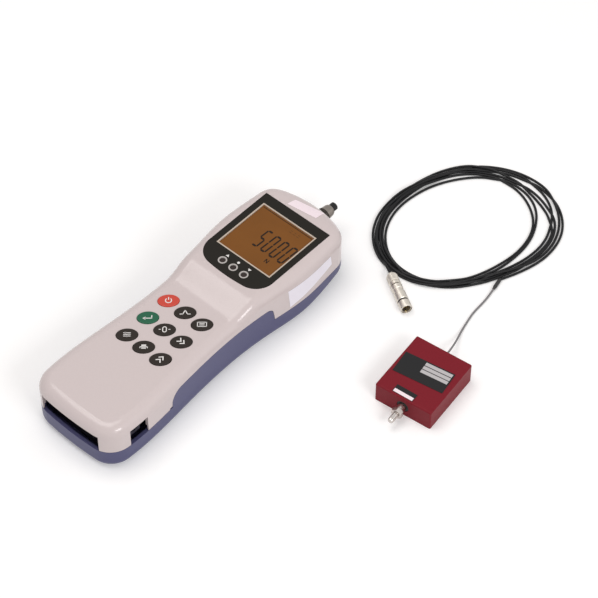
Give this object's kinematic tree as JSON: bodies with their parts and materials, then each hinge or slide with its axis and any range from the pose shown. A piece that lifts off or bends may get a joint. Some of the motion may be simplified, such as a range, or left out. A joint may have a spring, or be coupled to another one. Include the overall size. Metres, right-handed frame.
{
  "type": "force gauge",
  "caption": "Handheld digital force gauge with display and keypad, with a separate load cell on a coiled lead and a push-pull plug.",
  "frame": {"origin": "centre of the stand hole pattern on the flat back of the gauge, which lies on the bench", "axes": "+X to the right of the display's text, +Y along the gauge to the end with the load cell socket, +Z out of the display side"},
  "size_m": [0.1909, 0.3633, 0.0417],
  "materials": {
    "shell_grey": "satin moulded",
    "shell_blue": "satin moulded",
    "bezel_black": "semi-gloss",
    "lcd_frame_beige": "satin",
    "lcd_amber": "smooth",
    "backlight_white": "satin",
    "holder_black": "matt",
    "collar_white": "satin",
    "led_smoke": "smooth",
    "board_green": "solder resist",
    "dome_steel": "bright",
    "chip_black": "matt",
    "connector_steel": "plated",
    "tongue_black": "matt",
    "cell_label": "wrapped",
    "screw_steel": "zinc plated",
    "brass": "turned",
    "socket_metal": "dark nickel",
    "insert_black": "matt",
    "contact_gold": "gold plated",
    "key_red": "satin",
    "key_green": "satin",
    "key_charcoal": "satin",
    "cell_red": "anodised",
    "cell_base_metal": "milled",
    "beam_metal": "milled",
    "shaft_steel": "turned",
    "nut_steel": "plated",
    "rubber_black": "matt",
    "lead_grey": "matt",
    "cable_black": "satin",
    "plug_nickel": "nickel plated"
  },
  "bodies": {
    "gauge": {"top_shell": "shell_grey", "bottom_shell": "shell_blue", "display_bezel": "bezel_black", "lcd_frame": "lcd_frame_beige", "lcd_panel": "lcd_amber", "lcd_backlight": "backlight_white", "lcd_holder": "holder_black", "led_collars": "collar_white", "status_leds": "led_smoke", "main_board": "board_green", "switch_domes": "dome_steel", "board_components": "chip_black", "port_panel": "holder_black", "output_connector": "connector_steel", "output_connector_tongue": "tongue_black", "power_jack": "chip_black", "battery_cover": "shell_blue", "battery_tray": "holder_black", "battery_cells": "cell_label", "case_screws": "screw_steel", "battery_cover_screw": "screw_steel", "stand_inserts": "brass", "socket_barrel": "socket_metal", "socket_ring_nut": "socket_metal", "socket_lock_nut": "socket_metal", "socket_insert": "insert_black", "socket_contacts": "contact_gold"},
    "key_power": {"key_power": "key_red"},
    "key_peak": {"key_peak": "key_charcoal"},
    "key_memory": {"key_memory": "key_charcoal"},
    "key_enter": {"key_enter": "key_green"},
    "key_zero": {"key_zero": "key_charcoal"},
    "key_down": {"key_down": "key_charcoal"},
    "key_function": {"key_function": "key_charcoal"},
    "key_print": {"key_print": "key_charcoal"},
    "key_up": {"key_up": "key_charcoal"},
    "load_cell": {"cell_housing": "cell_red", "cell_base": "cell_base_metal", "cell_base_screws": "screw_steel", "load_beam": "beam_metal", "load_beam_screws": "screw_steel", "shaft_bush": "rubber_black", "junction_board": "board_green", "lead_grommet": "rubber_black", "lead_cable": "lead_grey", "splice_sleeve": "rubber_black", "cable_coil": "cable_black", "cable_tail": "cable_black", "plug_back_nut": "plug_nickel", "plug_body": "plug_nickel", "plug_insert": "insert_black", "plug_pins": "contact_gold"},
    "measuring_shaft": {"measuring_shaft": "shaft_steel", "shaft_inner_nut": "nut_steel"},
    "lock_nut": {"lock_nut": "nut_steel"},
    "plug_coupling_sleeve": {"plug_coupling_sleeve": "plug_nickel"}
  },
  "joints": [
    {"name": "key_power_press", "type": "slide", "parent": "gauge", "child": "key_power", "axis": [0, 0, -1], "range_m": [0, 0.0006], "stiffness_N_per_m": 1500},
    {"name": "key_peak_press", "type": "slide", "parent": "gauge", "child": "key_peak", "axis": [0, 0, -1], "range_m": [0, 0.0006], "stiffness_N_per_m": 1500},
    {"name": "key_memory_press", "type": "slide", "parent": "gauge", "child": "key_memory", "axis": [0, 0, -1], "range_m": [0, 0.0006], "stiffness_N_per_m": 1500},
    {"name": "key_enter_press", "type": "slide", "parent": "gauge", "child": "key_enter", "axis": [0, 0, -1], "range_m": [0, 0.0006], "stiffness_N_per_m": 1500},
    {"name": "key_zero_press", "type": "slide", "parent": "gauge", "child": "key_zero", "axis": [0, 0, -1], "range_m": [0, 0.0006], "stiffness_N_per_m": 1500},
    {"name": "key_down_press", "type": "slide", "parent": "gauge", "child": "key_down", "axis": [0, 0, -1], "range_m": [0, 0.0006], "stiffness_N_per_m": 1500},
    {"name": "key_function_press", "type": "slide", "parent": "gauge", "child": "key_function", "axis": [0, 0, -1], "range_m": [0, 0.0006], "stiffness_N_per_m": 1500},
    {"name": "key_print_press", "type": "slide", "parent": "gauge", "child": "key_print", "axis": [0, 0, -1], "range_m": [0, 0.0006], "stiffness_N_per_m": 1500},
    {"name": "key_up_press", "type": "slide", "parent": "gauge", "child": "key_up", "axis": [0, 0, -1], "range_m": [0, 0.0006], "stiffness_N_per_m": 1500},
    {"name": "load_cell_lift", "type": "slide", "parent": "gauge", "child": "load_cell", "axis": [0, 0, 1], "range_m": [0, 0.06]},
    {"name": "shaft_travel", "type": "slide", "parent": "load_cell", "child": "measuring_shaft", "axis": [0.1201, -0.9928, 0], "range_m": [-0.00025, 0.00025], "stiffness_N_per_m": 40000},
    {"name": "lock_nut_turn", "type": "hinge", "parent": "measuring_shaft", "child": "lock_nut", "pos_m": [0.13503, 0.03641, 0.00775], "axis": [0.1201, -0.9928, 0], "continuous": true},
    {"name": "plug_sleeve_pull", "type": "slide", "parent": "load_cell", "child": "plug_coupling_sleeve", "axis": [-0.8669, 0.4985, 0], "range_m": [0, 0.002], "stiffness_N_per_m": 1500}
  ]
}
